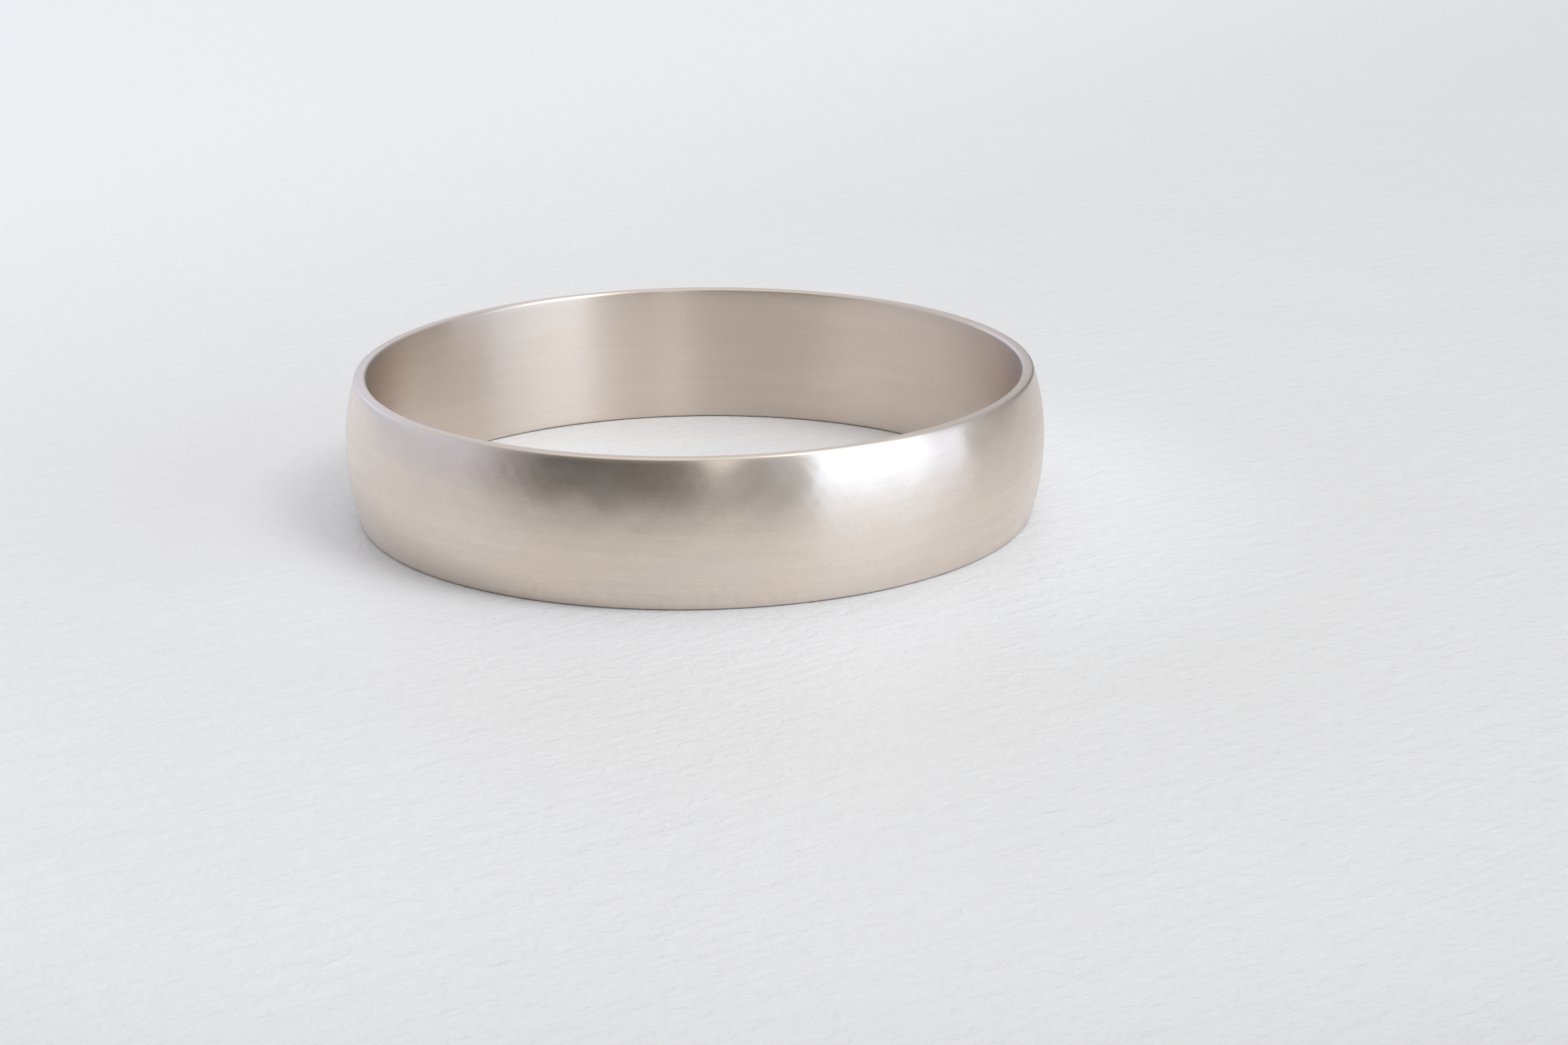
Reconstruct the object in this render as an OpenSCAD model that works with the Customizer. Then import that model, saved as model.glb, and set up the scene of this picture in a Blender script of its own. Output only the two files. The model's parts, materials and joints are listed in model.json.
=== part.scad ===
// Plain wedding band with a low domed outside and a straight bore.
// It is one closed hoop of metal. The finger goes along Z, the band stands on its lower rim
// at Z = 0, and its axis is the Z axis. All lengths are millimetres.

/* [Size] */
// Ring size: the inside circumference in millimetres, which is the ISO 8653 size number
ring_size = 57; // [44:0.5:76]
// Width of the band, measured along the finger
band_w = 4; // [2.5:0.1:8]

/* [Section] */
// Thickness of the metal at the crown, halfway across the width
crown_t = 0.66; // [0.6:0.02:1.2]
// Thickness of the metal at each rim, before its corners are eased
rim_t = 0.32; // [0.22:0.02:0.5]

/* [Edges] */
// Radius of the eased edge between the bore and each rim
bore_edge_r = 0.08; // [0.03:0.01:0.1]
// Radius of the eased edge between the domed outside and each rim
outer_edge_r = 0.08; // [0.03:0.01:0.1]

/* [Hidden] */

// Facets: once around the finger, around the dome's full circle, and around an eased edge's
round_fn = 288;
dome_fn = 720;
edge_fn = 48;

bore_r = ring_size / PI / 2;
half_w = band_w / 2;

// The section is drawn with X = 0 at the bore wall and Y = 0 halfway across the width.
// The outside is one circular arc, which rises dome_h from rim to crown.
dome_h = crown_t - rim_t;
dome_r = (half_w * half_w + dome_h * dome_h) / (2 * dome_h);
dome_x = crown_t - dome_r;

// Centre of the arc that eases the outer edge. The arc is tangent to the rim, and it meets
// the dome a few degrees short of tangent, as an edge eased by hand does.
ease_y = half_w - outer_edge_r;
ease_x = dome_x + sqrt(pow(dome_r - outer_edge_r * 0.995, 2) - pow(ease_y, 2));
// Height above that centre at which the arc has left the metal
ease_end = outer_edge_r * ease_y / (dome_r - outer_edge_r * 0.995);

// How far the cutting shapes stand clear of the metal
clear = 0.5;

// What is cut from a square corner to ease it by radius r. side is 1 for the outer corner
// and -1 for the bore's. The arc's centre is at [0, 0], and the arc ends at height end.
module corner_waste(r, side, end) {
    reach = r + clear;
    difference() {
        translate([side > 0 ? 0 : -reach, end]) square([reach, reach]);
        rotate(180) circle(r = r, $fn = edge_fn);
    }
}

// What is cut from one half of the section
module half_easing() {
    translate([ease_x, ease_y]) corner_waste(outer_edge_r, 1, ease_end);
    translate([bore_edge_r, half_w - bore_edge_r]) corner_waste(bore_edge_r, -1, 0);
}

// The band's cross-section
module section() {
    difference() {
        intersection() {
            translate([dome_x, 0]) rotate(180) circle(r = dome_r, $fn = dome_fn);
            translate([0, -half_w]) square([crown_t + clear, band_w]);
        }
        half_easing();
        mirror([0, 1]) half_easing();
    }
}

module band() {
    color([0.80, 0.76, 0.71])
        translate([0, 0, half_w])
            rotate_extrude($fn = round_fn)
                translate([bore_r, 0]) section();
}

band();
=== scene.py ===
import json
import math

import bpy
import numpy as np
from mathutils import Matrix, Vector


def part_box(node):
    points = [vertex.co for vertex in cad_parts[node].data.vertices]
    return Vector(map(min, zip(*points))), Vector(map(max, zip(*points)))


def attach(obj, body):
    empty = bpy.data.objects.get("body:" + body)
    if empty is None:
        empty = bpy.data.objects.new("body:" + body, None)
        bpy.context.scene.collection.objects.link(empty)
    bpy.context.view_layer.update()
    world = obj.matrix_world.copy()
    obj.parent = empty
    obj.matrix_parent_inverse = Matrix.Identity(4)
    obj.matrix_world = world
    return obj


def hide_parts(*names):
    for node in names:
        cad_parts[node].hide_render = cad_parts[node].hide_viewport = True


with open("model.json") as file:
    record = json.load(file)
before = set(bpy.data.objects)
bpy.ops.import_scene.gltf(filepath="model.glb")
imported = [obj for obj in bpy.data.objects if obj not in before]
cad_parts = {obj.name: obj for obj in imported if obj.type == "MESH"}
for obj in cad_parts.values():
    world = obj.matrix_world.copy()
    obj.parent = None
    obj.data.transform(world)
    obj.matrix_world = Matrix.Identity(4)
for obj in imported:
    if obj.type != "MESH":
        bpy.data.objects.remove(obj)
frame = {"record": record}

MM = 0.001
scene = bpy.context.scene
rng = np.random.default_rng(41)


# ---------------------------------------------------------------- the frame's own sizes
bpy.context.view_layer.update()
band_lo, band_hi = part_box("band")
record = frame["record"]
bore = next(m for m in record["mounts"] if m["name"] == "finger_bore")
bore_r = bore["dims"]["r_mm"] * MM
width = band_hi.z - band_lo.z
base_z = band_lo.z
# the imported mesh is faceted, so its smallest half side is what the true circle stays inside
out_r = min(band_hi.x, band_hi.y, -band_lo.x, -band_lo.y) - 0.001 * MM
bore_edge = (width - bore["dims"]["length_mm"] * MM) / 2
rim_t = 0.32 * MM
outer_edge = 0.08 * MM


# ---------------------------------------------------------------- the band
def profile():
    """The band's cross-section as points (radius, height) and outward normals, once round,
    starting at the bottom of the bore wall. Also each point's kind: 0 bore, 1 bore edge,
    2 rim land, 3 outer edge, 4 dome."""
    crown = out_r - bore_r
    h = crown - rim_t
    half = width / 2
    big = (half * half + h * h) / (2 * h)
    cx = out_r - big
    ey = half - outer_edge
    ex = cx + math.sqrt((big - outer_edge) ** 2 - ey * ey)
    touch = math.atan2(ey, ex - cx)
    pts = []

    def add(r, z, nr, nz, kind):
        pts.append((r, z + half, nr, nz, kind))

    # bore wall, upwards
    top = half - bore_edge
    for z in np.linspace(-top, top, 21)[:-1]:
        add(bore_r, z, -1, 0, 0)
    # upper bore edge
    for a in np.linspace(math.pi, math.pi / 2, 6)[:-1]:
        add(bore_r + bore_edge + bore_edge * math.cos(a), top + bore_edge * math.sin(a),
            math.cos(a), math.sin(a), 1)
    # upper land
    for r in np.linspace(bore_r + bore_edge, ex, 5)[:-1]:
        add(r, half, 0, 1, 2)
    # upper outer edge
    for a in np.linspace(math.pi / 2, touch, 7)[:-1]:
        add(ex + outer_edge * math.cos(a), ey + outer_edge * math.sin(a), math.cos(a), math.sin(a), 3)
    # dome, downwards
    for a in np.linspace(touch, -touch, 47)[:-1]:
        add(cx + big * math.cos(a), big * math.sin(a), math.cos(a), math.sin(a), 4)
    # lower outer edge
    for a in np.linspace(-touch, -math.pi / 2, 7)[:-1]:
        add(ex + outer_edge * math.cos(a), -ey + outer_edge * math.sin(a), math.cos(a), math.sin(a), 3)
    # lower land
    for r in np.linspace(ex, bore_r + bore_edge, 5)[:-1]:
        add(r, -half, 0, -1, 2)
    # lower bore edge
    for a in np.linspace(-math.pi / 2, -math.pi, 6)[:-1]:
        add(bore_r + bore_edge + bore_edge * math.cos(a), -top + bore_edge * math.sin(a),
            math.cos(a), math.sin(a), 1)
    return np.array(pts)


def waves(theta, across, count, turns, cross, seed):
    """A smooth seeded field, periodic round the band: count waves whose number of periods round
    the band is drawn from turns and whose wavelength across it (in metres) from cross. It has
    unit standard deviation."""
    r = np.random.default_rng(seed)
    total = np.zeros(np.broadcast(theta, across).shape)
    for _ in range(count):
        k = r.integers(turns[0], turns[1] + 1) * r.choice([-1, 1])
        lam = r.uniform(*cross)
        total += np.sin(k * theta + 2 * math.pi * across / lam + r.uniform(0, 2 * math.pi))
    return total / math.sqrt(count / 2)


def make_band():
    prof = profile()
    n_round, n_prof = 1024, len(prof)
    rad, z, nr, nz, kind = prof.T
    step = np.hypot(np.diff(np.append(rad, rad[0])), np.diff(np.append(z, z[0])))
    s = np.concatenate([[0], np.cumsum(step)])
    total = s[-1]
    theta = np.arange(n_round) / n_round * 2 * math.pi
    T, Z = np.meshgrid(theta, z, indexing="ij")
    S = np.broadcast_to(s[:-1], T.shape)

    # What a jeweller's file and abrasive leave: the metal is cut back by a few microns in broad
    # shallow facets. The cut is 0 at the least, so the band stays inside its design size.
    on_dome = np.isin(kind, (3, 4)).astype(float)
    on_bore = (kind == 0).astype(float)
    broad = waves(T, S, 26, (5, 17), (3.0 * MM, 9.0 * MM), 5)
    mid = waves(T, S, 40, (20, 56), (0.9 * MM, 2.6 * MM), 6)
    fine = waves(T, S, 60, (60, 170), (0.35 * MM, 0.9 * MM), 7)
    edge_fade = np.clip(np.minimum(z, width - z) / (0.5 * MM), 0.15, 1.0)
    field = (0.0030 * broad + 0.0014 * mid + 0.0003 * fine) * MM
    cut = np.maximum(0.0085 * MM + field, 0) * on_dome * edge_fade
    inner = waves(T, S, 20, (4, 12), (3.0 * MM, 9.0 * MM), 8)
    cut_in = np.maximum(0.0012 * MM + 0.0005 * MM * inner, 0) * on_bore * edge_fade

    # Small dents, shallow and rare
    dents = np.random.default_rng(12)
    for _ in range(26):
        t0 = dents.uniform(0, 2 * math.pi)
        z0 = dents.uniform(0.35, 3.65) * MM
        size = dents.uniform(0.14, 0.34) * MM
        deep = dents.uniform(0.0012, 0.004) * MM
        dt = (T - t0 + math.pi) % (2 * math.pi) - math.pi
        d2 = ((dt * out_r) ** 2 / (size * dents.uniform(0.8, 2.2)) ** 2 + ((Z - z0) / size) ** 2)
        cut = cut + deep * np.exp(-d2 * 3) * on_dome

    total_cut = cut + cut_in
    R = rad[None, :] - nr[None, :] * total_cut
    Zc = Z - nz[None, :] * total_cut
    co = np.stack([R * np.cos(T), R * np.sin(T), Zc + base_z], axis=-1).reshape(-1, 3)

    i = np.arange(n_round)[:, None]
    j = np.arange(n_prof)[None, :]
    i2, j2 = (i + 1) % n_round, (j + 1) % n_prof
    quads = np.stack(
        [i * n_prof + j, i * n_prof + j2, i2 * n_prof + j2, i2 * n_prof + j], axis=-1
    ).reshape(-1, 4)

    me = bpy.data.meshes.new("wedding_band")
    me.from_pydata(co.tolist(), [], quads.tolist())
    me.update()
    # the face normals point out of the metal
    mid_face = me.polygons[20 // 2]
    if Vector((mid_face.center.x, mid_face.center.y, 0)).dot(mid_face.normal) > 0:
        me.flip_normals()
    me.polygons.foreach_set("use_smooth", np.ones(len(me.polygons), bool))

    # UV: u once round the band, v along the section
    uv = me.uv_layers.new(name="band_uv")
    vert = np.empty(len(me.loops), np.int64)
    me.loops.foreach_get("vertex_index", vert)
    li, lj = vert // n_prof, vert % n_prof
    face = np.repeat(np.arange(len(me.polygons)), 4)
    fi, fj = face // n_prof, face % n_prof
    u = np.where((fi == n_round - 1) & (li == 0), n_round, li) / n_round
    v = s[np.where((fj == n_prof - 1) & (lj == 0), n_prof, lj)] / total
    uv.data.foreach_set("uv", np.stack([u, v], -1).ravel().astype(np.float32))

    # how much each point lies on an eased edge; there the colour is darker and the finish rougher
    att = me.attributes.new("eased", "FLOAT", "POINT")
    ease = np.isin(kind, (1, 3)).astype(np.float32)
    ease = np.maximum(ease, 0.5 * (np.roll(ease, 1) + np.roll(ease, -1)))
    att.data.foreach_set("value", np.broadcast_to(ease, T.shape).ravel().astype(np.float32))
    # the bore and its two eased edges take the second material
    me.polygons.foreach_set("material_index", np.tile(kind <= 1, n_round).astype(np.int32))
    ob = bpy.data.objects.new("wedding_band", me)
    scene.collection.objects.link(ob)
    return ob, total


# ---------------------------------------------------------------- node helpers
class Net:
    def __init__(self, tree):
        self.t = tree
        self.x = 0

    def node(self, kind, **props):
        n = self.t.nodes.new(kind)
        self.x += 40
        n.location = (self.x, 0)
        for k, v in props.items():
            setattr(n, k, v)
        return n

    def put(self, socket, value):
        if hasattr(value, "is_output"):
            self.t.links.new(value, socket)
        elif value is not None:
            socket.default_value = value

    def math(self, op, a, b=None, c=None, clamp=False):
        n = self.node("ShaderNodeMath", operation=op, use_clamp=clamp)
        for i, v in enumerate((a, b, c)):
            self.put(n.inputs[i], v)
        return n.outputs[0]

    def combine(self, x, y, z):
        n = self.node("ShaderNodeCombineXYZ")
        for i, v in enumerate((x, y, z)):
            self.put(n.inputs[i], v)
        return n.outputs[0]

    def noise(self, vec, scale=1.0, detail=2.0, rough=0.5, distort=0.0):
        n = self.node("ShaderNodeTexNoise", noise_dimensions="3D")
        self.put(n.inputs["Vector"], vec)
        n.inputs["Scale"].default_value = scale
        n.inputs["Detail"].default_value = detail
        n.inputs["Roughness"].default_value = rough
        n.inputs["Distortion"].default_value = distort
        return n.outputs["Fac"]

    def map(self, value, a, b, c, d, smooth=False):
        n = self.node("ShaderNodeMapRange", interpolation_type="SMOOTHSTEP" if smooth else "LINEAR")
        for i, v in enumerate((value, a, b, c, d)):
            self.put(n.inputs[i], v)
        return n.outputs[0]

    def mix_colour(self, fac, a, b, blend="MIX"):
        n = self.node("ShaderNodeMix", data_type="RGBA", blend_type=blend)
        self.put(n.inputs[0], fac)
        self.put(n.inputs[6], a)
        self.put(n.inputs[7], b)
        return n.outputs[2]

    def scale(self, vec, factor):
        n = self.node("ShaderNodeVectorMath", operation="SCALE")
        self.put(n.inputs[0], vec)
        self.put(n.inputs[3], factor)
        return n.outputs[0]

    def ramp(self, fac, stops, mode="EASE"):
        n = self.node("ShaderNodeValToRGB")
        cr = n.color_ramp
        cr.interpolation = mode
        while len(cr.elements) > 1:
            cr.elements.remove(cr.elements[-1])
        cr.elements[0].position, cr.elements[0].color = stops[0][0], (*stops[0][1], 1)
        for p, c in stops[1:]:
            cr.elements.new(p).color = (*c, 1)
        self.put(n.inputs[0], fac)
        return n.outputs[0]


def gold_material(name, length, inside):
    """Satin white gold. The outside has fine lines round the band, a fainter cross grain and soft
    clouds of wear. The bore has been run on a felt: it keeps only the faint lines round it."""
    m = bpy.data.materials.new(name)
    m.use_nodes = True
    t = m.node_tree
    t.nodes.clear()
    g = Net(t)
    out = g.node("ShaderNodeOutputMaterial")
    p = g.node("ShaderNodeBsdfPrincipled")
    t.links.new(p.outputs[0], out.inputs[0])

    # x and y in millimetres round the band, w in millimetres along the section
    pos = g.node("ShaderNodeTexCoord").outputs["Object"]
    sep = g.node("ShaderNodeSeparateXYZ")
    t.links.new(pos, sep.inputs[0])
    x = g.math("MULTIPLY", sep.outputs[0], 1000.0)
    y = g.math("MULTIPLY", sep.outputs[1], 1000.0)
    uvn = g.node("ShaderNodeUVMap", uv_map="band_uv")
    uvs = g.node("ShaderNodeSeparateXYZ")
    t.links.new(uvn.outputs[0], uvs.inputs[0])
    w = g.math("MULTIPLY", uvs.outputs[1], length * 1000.0)

    def field(round_scale, across_scale, detail, shift, rough=0.5, distort=0.0):
        return g.noise(
            g.combine(g.math("MULTIPLY", x, round_scale), g.math("MULTIPLY", y, round_scale),
                      g.math("MULTIPLY_ADD", w, across_scale, shift)),
            1.0, detail, rough, distort)

    lines = field(0.50, 11.0, 1.0, 11.3, 0.5)         # brush lines
    long_lines = field(0.22, 3.6, 2.0, 47.1, 0.5, 0.15)  # broader bands of them
    cross = field(5.0, 1.6, 1.0, 83.7, 0.5)           # short strokes the other way
    cloud = field(0.50, 0.70, 3.0, 5.9, 0.55, 0.4)    # soft patches
    grain = field(17.0, 17.0, 1.0, 29.0)              # grain of the abrasive

    eased = g.node("ShaderNodeAttribute", attribute_name="eased").outputs["Fac"]

    # colour: warm grey white gold, a little deeper in the lines and pinker in patches
    base = g.mix_colour(g.map(cloud, 0.3, 0.7, 0.0, 1.0), GOLD_A, GOLD_B)
    base = g.mix_colour(g.map(lines, 0.35, 0.7, 0.0, 0.26 if inside else 0.30), base, GOLD_DEEP)
    base = g.mix_colour(g.map(grain, 0.38, 0.66, 0.0, 0.32), base, GOLD_PALE)
    base = g.mix_colour(g.map(long_lines, 0.38, 0.66, 0.0, 0.22 if inside else 0.28), base, GOLD_DEEP)
    # the eased edges get a darker colour
    base = g.mix_colour(g.math("MULTIPLY", eased, 0.6), base, GOLD_EDGE)
    g.put(p.inputs["Base Color"], base)
    p.inputs["Metallic"].default_value = 1.0

    if inside:
        rough = g.map(cloud, 0.3, 0.7, 0.340, 0.360)
        rough = g.math("ADD", rough, g.map(lines, 0.3, 0.7, -0.006, 0.006))
        rough = g.math("ADD", rough, g.map(long_lines, 0.3, 0.7, -0.006, 0.006))
        p.inputs["Anisotropic"].default_value = 0.93
    else:
        rough = g.map(cloud, 0.3, 0.7, 0.268, 0.284)
        rough = g.math("ADD", rough, g.map(lines, 0.3, 0.7, -0.006, 0.006))
        rough = g.math("ADD", rough, g.map(long_lines, 0.3, 0.7, -0.006, 0.006))
        rough = g.math("ADD", rough, g.map(cross, 0.3, 0.7, -0.004, 0.004))
        rough = g.math("MULTIPLY_ADD", eased, 0.07, rough, clamp=True)
        p.inputs["Anisotropic"].default_value = 0.75
    g.put(p.inputs["Roughness"], rough)
    p.inputs["Anisotropic Rotation"].default_value = 0.25
    tangent = g.node("ShaderNodeTangent", direction_type="RADIAL", axis="Z")
    t.links.new(tangent.outputs[0], p.inputs["Tangent"])

    # relief of the lines and the grain
    height = g.math("MULTIPLY", lines, 0.03 if inside else 0.06)
    height = g.math("MULTIPLY_ADD", long_lines, 0.12 if inside else 0.25, height)
    if not inside:
        height = g.math("MULTIPLY_ADD", cross, 0.04, height)
        height = g.math("MULTIPLY_ADD", grain, 0.008, height)
    bump = g.node("ShaderNodeBump")
    bump.inputs["Strength"].default_value = 0.5
    bump.inputs["Distance"].default_value = 0.000006
    t.links.new(height, bump.inputs["Height"])
    t.links.new(bump.outputs[0], p.inputs["Normal"])
    return m


GOLD_A = (0.812, 0.698, 0.598, 1)
GOLD_B = (0.772, 0.686, 0.608, 1)
GOLD_DEEP = (0.715, 0.616, 0.534, 1)
GOLD_PALE = (0.825, 0.735, 0.650, 1)
GOLD_EDGE = (0.720, 0.640, 0.560, 1)

band, section_length = make_band()
band.data.materials.append(gold_material("white_gold_satin", section_length, False))
band.data.materials.append(gold_material("white_gold_bore", section_length, True))
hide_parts("band")
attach(band, "root")


# ---------------------------------------------------------------- the floor
def make_floor():
    rings, spokes = 26, 96
    radii = [0.0] + list(np.geomspace(0.012, 1.0, rings))
    verts, faces = [(0, 0, 0)], []
    for r in radii[1:]:
        for k in range(spokes):
            a = 2 * math.pi * k / spokes
            verts.append((r * math.cos(a), r * math.sin(a), 0))
    for k in range(spokes):
        faces.append((0, 1 + k, 1 + (k + 1) % spokes))
    for q in range(rings - 1):
        a0, b0 = 1 + q * spokes, 1 + (q + 1) * spokes
        for k in range(spokes):
            k2 = (k + 1) % spokes
            faces.append((a0 + k, b0 + k, b0 + k2, a0 + k2))
    me = bpy.data.meshes.new("floor")
    me.from_pydata(verts, [], faces)
    me.update()
    ob = bpy.data.objects.new("floor", me)
    ob.location = (0, 0, base_z - 0.00001)
    scene.collection.objects.link(ob)

    m = bpy.data.materials.new("white_painted_board")
    m.use_nodes = True
    t = m.node_tree
    t.nodes.clear()
    g = Net(t)
    out = g.node("ShaderNodeOutputMaterial")
    p = g.node("ShaderNodeBsdfPrincipled")
    t.links.new(p.outputs[0], out.inputs[0])
    pos = g.node("ShaderNodeTexCoord").outputs["Object"]
    sep = g.node("ShaderNodeSeparateXYZ")
    t.links.new(pos, sep.inputs[0])
    x = g.math("MULTIPLY", sep.outputs[0], 1000.0)
    y = g.math("MULTIPLY", sep.outputs[1], 1000.0)
    # brush marks in the paint run from near left to far right
    along = g.math("ADD", g.math("MULTIPLY", x, 0.80), g.math("MULTIPLY", y, 0.60))
    athwart = g.math("SUBTRACT", g.math("MULTIPLY", y, 0.80), g.math("MULTIPLY", x, 0.60))
    strokes = g.noise(g.combine(g.math("MULTIPLY", along, 0.18), g.math("MULTIPLY", athwart, 2.4), 3.0), 1.0, 3.0, 0.6)
    tooth = g.noise(g.combine(x, y, 9.0), 5.0, 4.0, 0.65)
    tuft = g.noise(g.combine(x, y, 33.0), 1.6, 3.0, 0.6, 0.8)
    cloud = g.noise(g.combine(x, y, 21.0), 0.11, 2.0, 0.5)
    base = g.mix_colour(g.map(cloud, 0.3, 0.7, 0.0, 1.0), (0.822, 0.811, 0.791, 1), (0.805, 0.793, 0.772, 1))
    base = g.mix_colour(g.map(strokes, 0.45, 0.8, 0.0, 0.35), base, (0.77, 0.759, 0.740, 1))
    base = g.mix_colour(g.map(tooth, 0.36, 0.66, 0.22, 0.0), base, (0.73, 0.720, 0.702, 1))
    base = g.mix_colour(g.map(tuft, 0.35, 0.65, 0.16, 0.0), base, (0.73, 0.720, 0.702, 1))
    # painted light: the board's colour is made whiter round where the band stands, centred a little to the right and
    # front of it, which lightens the shade at its foot and inside it; painted light also makes the colour whiter
    # towards the far left
    nx, ny = g.math("ADD", x, -1.8), g.math("ADD", y, 0.8)
    near = g.math("SQRT", g.math("ADD", g.math("MULTIPLY", nx, nx), g.math("MULTIPLY", ny, ny)))
    base = g.mix_colour(g.map(near, 7.0, 17.5, 0.95, 0.0, smooth=True), base, (0.905, 0.910, 0.914, 1))
    slant = g.math("SUBTRACT", g.math("MULTIPLY", y, 0.5), g.math("MULTIPLY", x, 0.6))
    base = g.mix_colour(g.map(slant, 8.0, 45.0, 0.0, 1.0, smooth=True), base, (0.885, 0.874, 0.854, 1))
    # painted shade: the board's colour turns greyer away from where the band stands, more so on the side of the
    # viewer, standing in for the dimmer light there
    side, front = g.math("MULTIPLY", x, 0.55), g.math("MINIMUM", y, 0.0)
    far = g.math("SQRT", g.math("ADD", g.math("MULTIPLY", side, side), g.math("MULTIPLY", front, front)))
    base = g.mix_colour(g.map(far, 27.0, 62.0, 0.0, 1.0, smooth=True), base, (0.38, 0.377, 0.37, 1))
    g.put(p.inputs["Base Color"], base)
    p.inputs["Roughness"].default_value = 0.43
    height = g.math("MULTIPLY_ADD", tooth, 0.6, g.math("MULTIPLY", strokes, 1.0))
    height = g.math("MULTIPLY_ADD", tuft, 1.6, height)
    bump = g.node("ShaderNodeBump")
    bump.inputs["Strength"].default_value = 0.6
    bump.inputs["Distance"].default_value = 0.00006
    t.links.new(height, bump.inputs["Height"])
    t.links.new(bump.outputs[0], p.inputs["Normal"])
    me.materials.append(m)
    return ob


make_floor()


# ---------------------------------------------------------------- light
def direction(azimuth, elevation):
    a, e = math.radians(azimuth), math.radians(elevation)
    return Vector((math.cos(a) * math.cos(e), math.sin(a) * math.cos(e), math.sin(e)))


def softbox(name, azimuth, low, high, spread, distance, colour, radiance):
    """An upright light panel facing the band: azimuth in degrees from +X, its lower and upper
    edges and its width as seen from the band, in degrees. radiance is in Blender's units."""
    w = 2 * distance * math.tan(math.radians(spread / 2))
    z0, z1 = distance * math.tan(math.radians(low)), distance * math.tan(math.radians(high))
    light = bpy.data.lights.new(name, "AREA")
    light.shape = "RECTANGLE"
    light.size, light.size_y = w, z1 - z0
    light.color = colour
    light.energy = radiance * math.pi * w * (z1 - z0)
    ob = bpy.data.objects.new(name, light)
    d = direction(azimuth, 0)
    ob.location = d * distance + Vector((0, 0, base_z + (z0 + z1) / 2))
    ob.rotation_mode = "QUATERNION"
    ob.rotation_quaternion = d.to_track_quat("Z", "Y")
    ob.visible_camera = False
    scene.collection.objects.link(ob)
    return ob


softbox("window", -28.75, 0.0, 31.0, 42.5, 3.0, (0.78, 0.98, 1.25), 1.43)
softbox("window_side", 0.4, 0.0, 7.0, 16.0, 3.0, (0.79, 0.99, 1.32), 1.80)
softbox("upper_window", -26.0, 44.0, 67.0, 40.0, 3.0, (0.98, 1.0, 1.05), 4.5)
softbox("lamp", -80.5, 20.5, 28.0, 12.0, 3.0, (1.0, 0.99, 0.97), 3.5)


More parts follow.
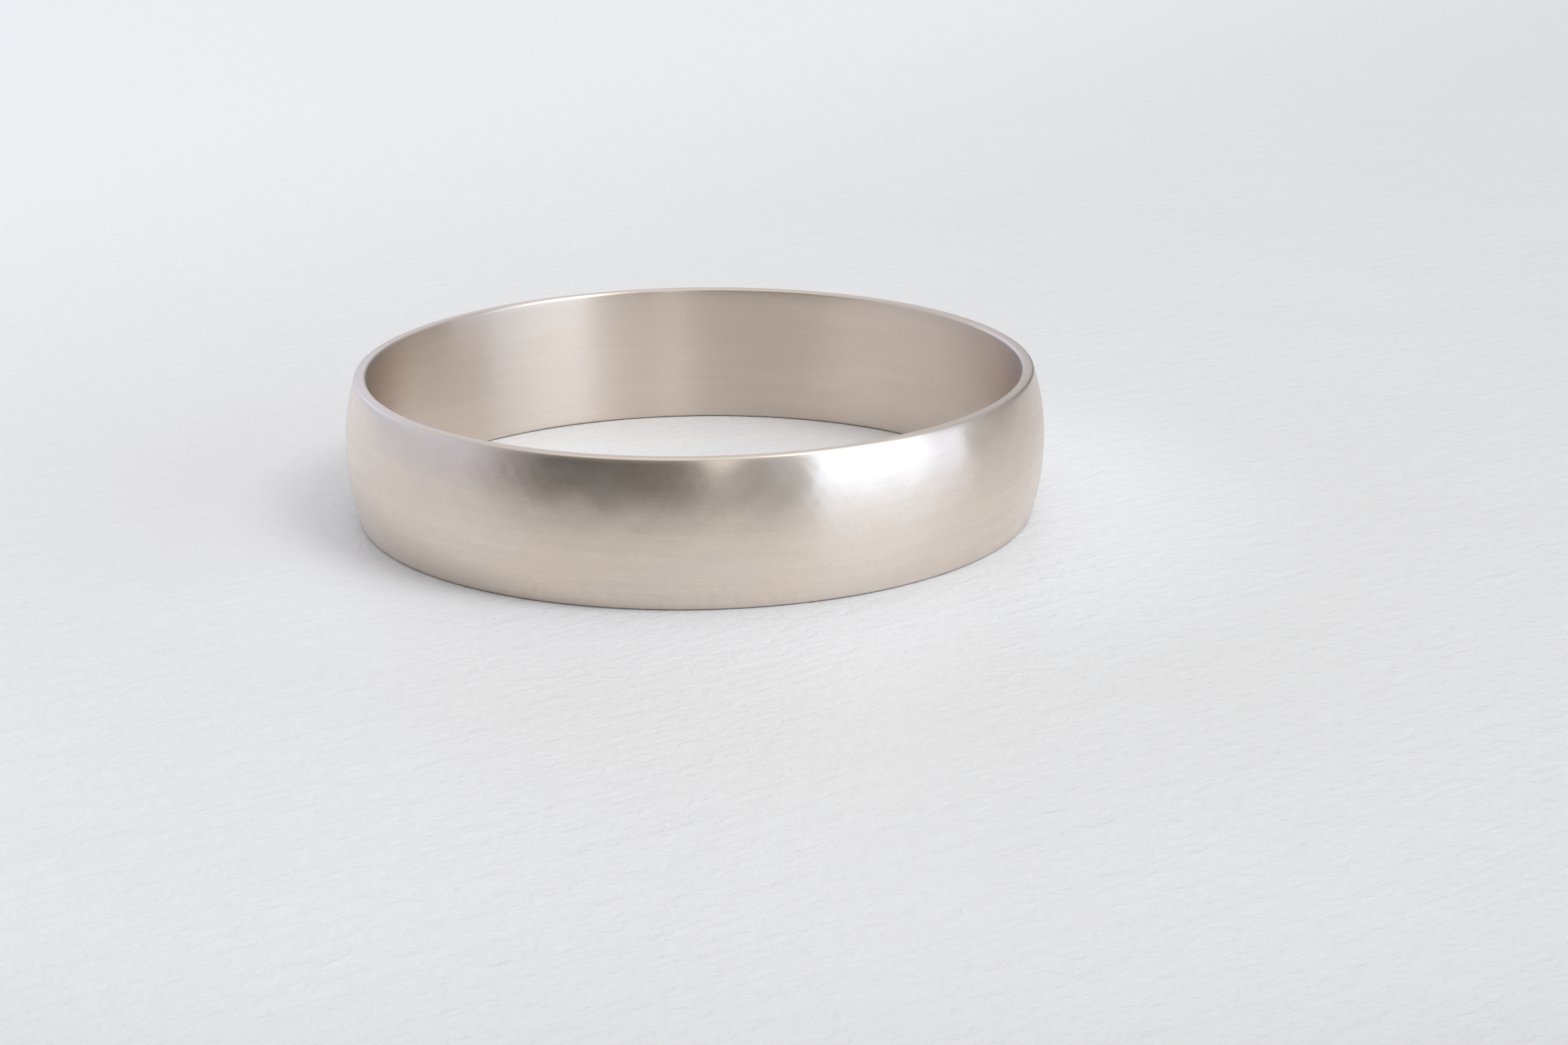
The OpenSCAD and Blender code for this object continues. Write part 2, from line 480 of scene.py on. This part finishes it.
def make_world():
    world = bpy.data.worlds.new("room")
    scene.world = world
    world.use_nodes = True
    t = world.node_tree
    t.nodes.clear()
    g = Net(t)
    out = g.node("ShaderNodeOutputWorld")
    bg = g.node("ShaderNodeBackground")
    t.links.new(bg.outputs[0], out.inputs[0])
    gen = g.node("ShaderNodeTexCoord").outputs["Generated"]
    sep = g.node("ShaderNodeSeparateXYZ")
    t.links.new(gen, sep.inputs[0])
    az = g.math("ARCTAN2", sep.outputs[1], sep.outputs[0])
    turn = g.math("MULTIPLY_ADD", az, 1 / (2 * math.pi), 0.5)
    el = g.math("ARCSINE", sep.outputs[2])

    def at(deg):
        return deg / 360 + 0.5

    low = g.ramp(turn, [
        (at(-180), (0.81, 0.87, 1.05)),
        (at(-166), (0.74, 0.77, 0.92)),
        (at(-151), (0.34, 0.34, 0.37)),
        (at(-138), (0.024, 0.020, 0.017)),
        (at(-119), (0.020, 0.016, 0.013)),
        (at(-105), (0.06, 0.052, 0.045)),
        (at(-90), (0.12, 0.11, 0.10)),
        (at(-75), (0.20, 0.20, 0.21)),
        (at(-60), (0.50, 0.52, 0.55)),
        (at(0), (0.64, 0.66, 0.71)),
        (at(14), (0.53, 0.54, 0.58)),
        (at(27), (0.43, 0.43, 0.45)),
        (at(42), (0.40, 0.40, 0.42)),
        (at(66), (0.22, 0.23, 0.25)),
        (at(80), (0.40, 0.41, 0.43)),
        (at(88), (0.68, 0.69, 0.73)),
        (at(97), (0.74, 0.77, 0.88)),
        (at(106), (0.85, 0.91, 1.14)),
        (at(116), (0.98, 1.07, 1.38)),
        (at(143), (0.95, 1.09, 1.38)),
        (at(163), (0.88, 0.97, 1.19)),
        (at(180), (0.81, 0.87, 1.05)),
    ], "LINEAR")
    # the room is dim at table height, most of all behind the viewer's right shoulder
    dim = g.ramp(turn, [
        (at(-180), (0.55, 0.55, 0.55)),
        (at(-105), (0.45, 0.45, 0.45)),
        (at(-85), (0.15, 0.15, 0.15)),
        (at(-60), (0.20, 0.20, 0.20)),
        (at(-45), (0.55, 0.55, 0.55)),
        (at(-12), (1.0, 1.0, 1.0)),
        (at(20), (1.0, 1.0, 1.0)),
        (at(34), (0.55, 0.55, 0.55)),
        (at(180), (0.55, 0.55, 0.55)),
    ], "LINEAR")
    low = g.mix_colour(g.map(el, 0.0, math.radians(11), 0.0, 1.0, smooth=True),
                       g.mix_colour(1.0, low, dim, "MULTIPLY"), low)
    high = g.ramp(turn, [
        (at(-180), (0.66, 0.67, 0.70)),
        (at(-150), (0.56, 0.56, 0.56)),
        (at(-125), (0.37, 0.36, 0.35)),
        (at(-100), (0.42, 0.41, 0.40)),
        (at(-72), (0.50, 0.50, 0.50)),
        (at(-53), (0.56, 0.56, 0.57)),
        (at(-45), (0.96, 0.97, 1.00)),
        (at(-30), (1.04, 1.06, 1.10)),
        (at(-8), (1.00, 1.02, 1.05)),
        (at(2), (0.68, 0.69, 0.71)),
        (at(30), (0.60, 0.60, 0.61)),
        (at(70), (0.75, 0.75, 0.76)),
        (at(86), (0.92, 0.92, 0.92)),
        (at(104), (0.86, 0.85, 0.84)),
        (at(150), (0.70, 0.69, 0.69)),
        (at(180), (0.66, 0.67, 0.70)),
    ], "LINEAR")
    rise = g.map(el, math.radians(18), math.radians(38), 0.0, 1.0, smooth=True)
    sky = g.mix_colour(rise, low, high)
    up = g.map(el, math.radians(48), math.radians(72), 0.0, 1.0, smooth=True)
    sky = g.mix_colour(up, sky, (1.20, 1.19, 1.18, 1))
    down = g.map(el, math.radians(-3), math.radians(0), 1.0, 0.0)
    sky = g.mix_colour(down, sky, (0.75, 0.75, 0.75, 1))
    g.put(bg.inputs["Color"], sky)
    bg.inputs["Strength"].default_value = 1.0


make_world()

# ---------------------------------------------------------------- camera
# The view is stated in bore radii, so it follows the band's size.
ELEVATION, ROLL, FOCAL_PX = math.radians(17.35), math.radians(-0.52), 4898.0
OFFSET = Vector((-0.270, -0.063, 10.126))
ce, se = math.cos(ELEVATION), math.sin(ELEVATION)
look = Matrix(((1, 0, 0), (0, -se, -ce), (0, ce, -se)))
cr, sr = math.cos(ROLL), math.sin(ROLL)
look = Matrix(((cr, -sr, 0), (sr, cr, 0), (0, 0, 1))) @ look
place = -(look.transposed() @ OFFSET) * bore_r + Vector((0, 0, base_z))
cam_data = bpy.data.cameras.new("camera")
cam_data.sensor_width = 36.0
cam_data.lens = FOCAL_PX * 36.0 / 2353.0
cam_data.clip_start, cam_data.clip_end = 0.005, 10.0
cam = bpy.data.objects.new("camera", cam_data)
scene.collection.objects.link(cam)
axes = Matrix((look[0], -look[1], -look[2])).transposed()
cam.matrix_world = Matrix.Translation(place) @ axes.to_4x4()
scene.camera = cam

scene.view_settings.view_transform = "Standard"
scene.view_settings.look = "None"
scene.view_settings.exposure = 0.0
scene.view_settings.gamma = 1.0

# ---------------------------------------------------------------- update
bpy.context.view_layer.update()
